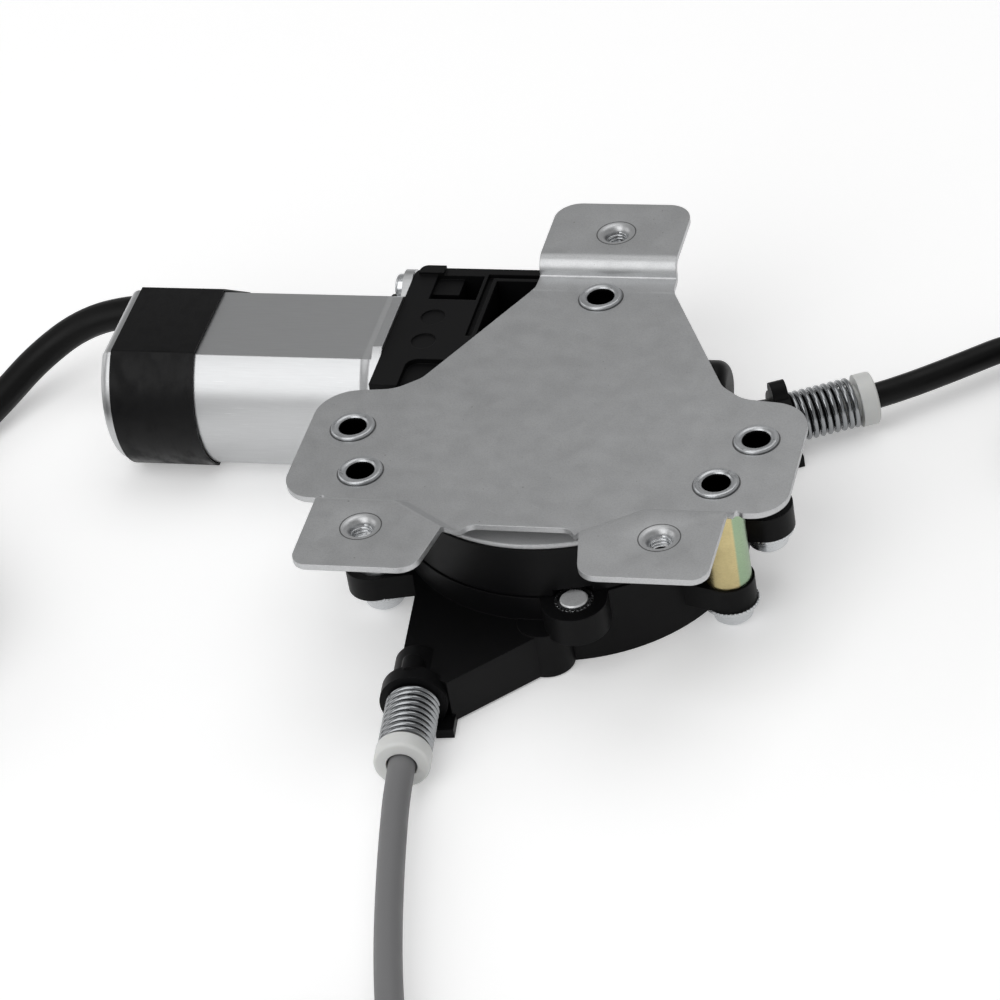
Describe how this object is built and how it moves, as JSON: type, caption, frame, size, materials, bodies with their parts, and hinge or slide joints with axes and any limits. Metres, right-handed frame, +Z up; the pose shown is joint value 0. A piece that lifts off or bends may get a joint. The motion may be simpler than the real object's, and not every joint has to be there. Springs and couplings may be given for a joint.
{
  "type": "window regulator",
  "caption": "Window regulator drive unit: a worm-geared motor and cable drum under a pressed steel plate, with two Bowden cable outlets.",
  "frame": {"origin": "on the cable drum's axis, at the underside of the drum housing that the unit rests on", "axes": "+Z up along the drum axis to the mounting plate, +X towards the side cable outlet with the motor lying along -X, +Y towards the rear fixing tab"},
  "size_m": [0.3891, 0.3276, 0.043],
  "materials": {
    "zinc_plate": "zinc-plated pressed steel",
    "zinc_clear": "clear zinc plate on turned steel",
    "zinc_yellow": "yellow zinc chromate on turned steel",
    "black_nylon": "moulded glass-filled nylon",
    "natural_nylon": "moulded acetal",
    "white_nylon": "translucent white nylon",
    "can_steel": "zinc-plated drawn steel",
    "spring_steel": "zinc-plated spring wire",
    "ground_steel": "ground steel",
    "rope_steel": "galvanised wire rope",
    "lamination": "silicon steel laminations",
    "copper": "bare copper",
    "enamelled_copper": "enamelled copper wire",
    "sintered_bronze": "oil-filled sintered bronze",
    "tinned_brass": "tinned brass",
    "carbon": "pressed carbon",
    "ferrite": "sintered ferrite",
    "rubber_black": "moulded rubber",
    "tape_black": "vinyl tape",
    "phenolic": "phenolic board",
    "sheath_black": "extruded plastic sheath",
    "sheath_grey": "extruded grey plastic sheath"
  },
  "bodies": {
    "housing": {"mount_plate": "zinc_plate", "left_standoff": "zinc_clear", "right_standoff": "zinc_yellow", "rear_standoff": "zinc_clear", "side_standoffs": "zinc_clear", "gear_cover": "zinc_plate", "drum_ear_screws": "zinc_clear", "side_ear_screws": "zinc_clear", "rear_screw": "zinc_clear", "gear_housing": "black_nylon", "drum_housing": "black_nylon", "spindle": "ground_steel", "spindle_washer": "ground_steel", "inner_ropes": "rope_steel", "motor_can": "can_steel", "can_tape": "tape_black", "magnets": "ferrite", "brush_card": "phenolic", "brushes": "carbon", "rear_bush": "sintered_bronze", "front_bush": "sintered_bronze", "end_bush": "sintered_bronze", "thrust_balls": "ground_steel", "motor_screws": "zinc_clear", "front_insert": "zinc_clear", "insert_plug": "zinc_clear", "lead_grommet": "rubber_black", "front_spring": "spring_steel", "side_spring": "spring_steel", "front_conduit": "sheath_grey", "side_conduit": "sheath_black", "front_conduit_coil": "sheath_grey", "side_conduit_coil": "sheath_black", "front_end_cap": "zinc_clear", "side_end_cap": "zinc_clear", "front_rope_end": "rope_steel", "side_rope_end": "rope_steel", "motor_lead": "sheath_black", "motor_lead_coil": "sheath_black", "lead_plug": "black_nylon", "plug_blades": "tinned_brass"},
    "drum_train": {"worm_wheel": "natural_nylon", "wheel_damper": "rubber_black", "driver_hub": "ground_steel", "drum": "natural_nylon", "rope_wraps": "rope_steel"},
    "armature": {"armature_shaft": "ground_steel", "armature_core": "lamination", "armature_windings": "enamelled_copper", "commutator": "copper"},
    "front_adjuster": {"front_ferrule": "white_nylon"},
    "side_adjuster": {"side_ferrule": "white_nylon"}
  },
  "joints": [
    {"name": "drum_spin", "type": "hinge", "parent": "housing", "child": "drum_train", "pos_m": [0, 0, 0], "axis": [0, 0, 1], "range_deg": [-480, 480]},
    {"name": "armature_spin", "type": "hinge", "parent": "housing", "child": "armature", "pos_m": [0, 0.0376, 0.0187], "axis": [1, 0, 0], "range_deg": [-32640, 32640]},
    {"name": "front_adjuster_slide", "type": "slide", "parent": "housing", "child": "front_adjuster", "axis": [-0.1219, 0.9925, 0], "range_m": [0, 0.005], "stiffness_N_per_m": 2000, "springref_m": -0.005, "deforming": ["front_spring"]},
    {"name": "side_adjuster_slide", "type": "slide", "parent": "housing", "child": "side_adjuster", "axis": [-0.8973, -0.4415, 0], "range_m": [0, 0.005], "stiffness_N_per_m": 2000, "springref_m": -0.005, "deforming": ["side_spring"]}
  ],
  "couplings": [
    {"joint": "armature_spin", "follows": "drum_spin", "ratio": 68}
  ]
}
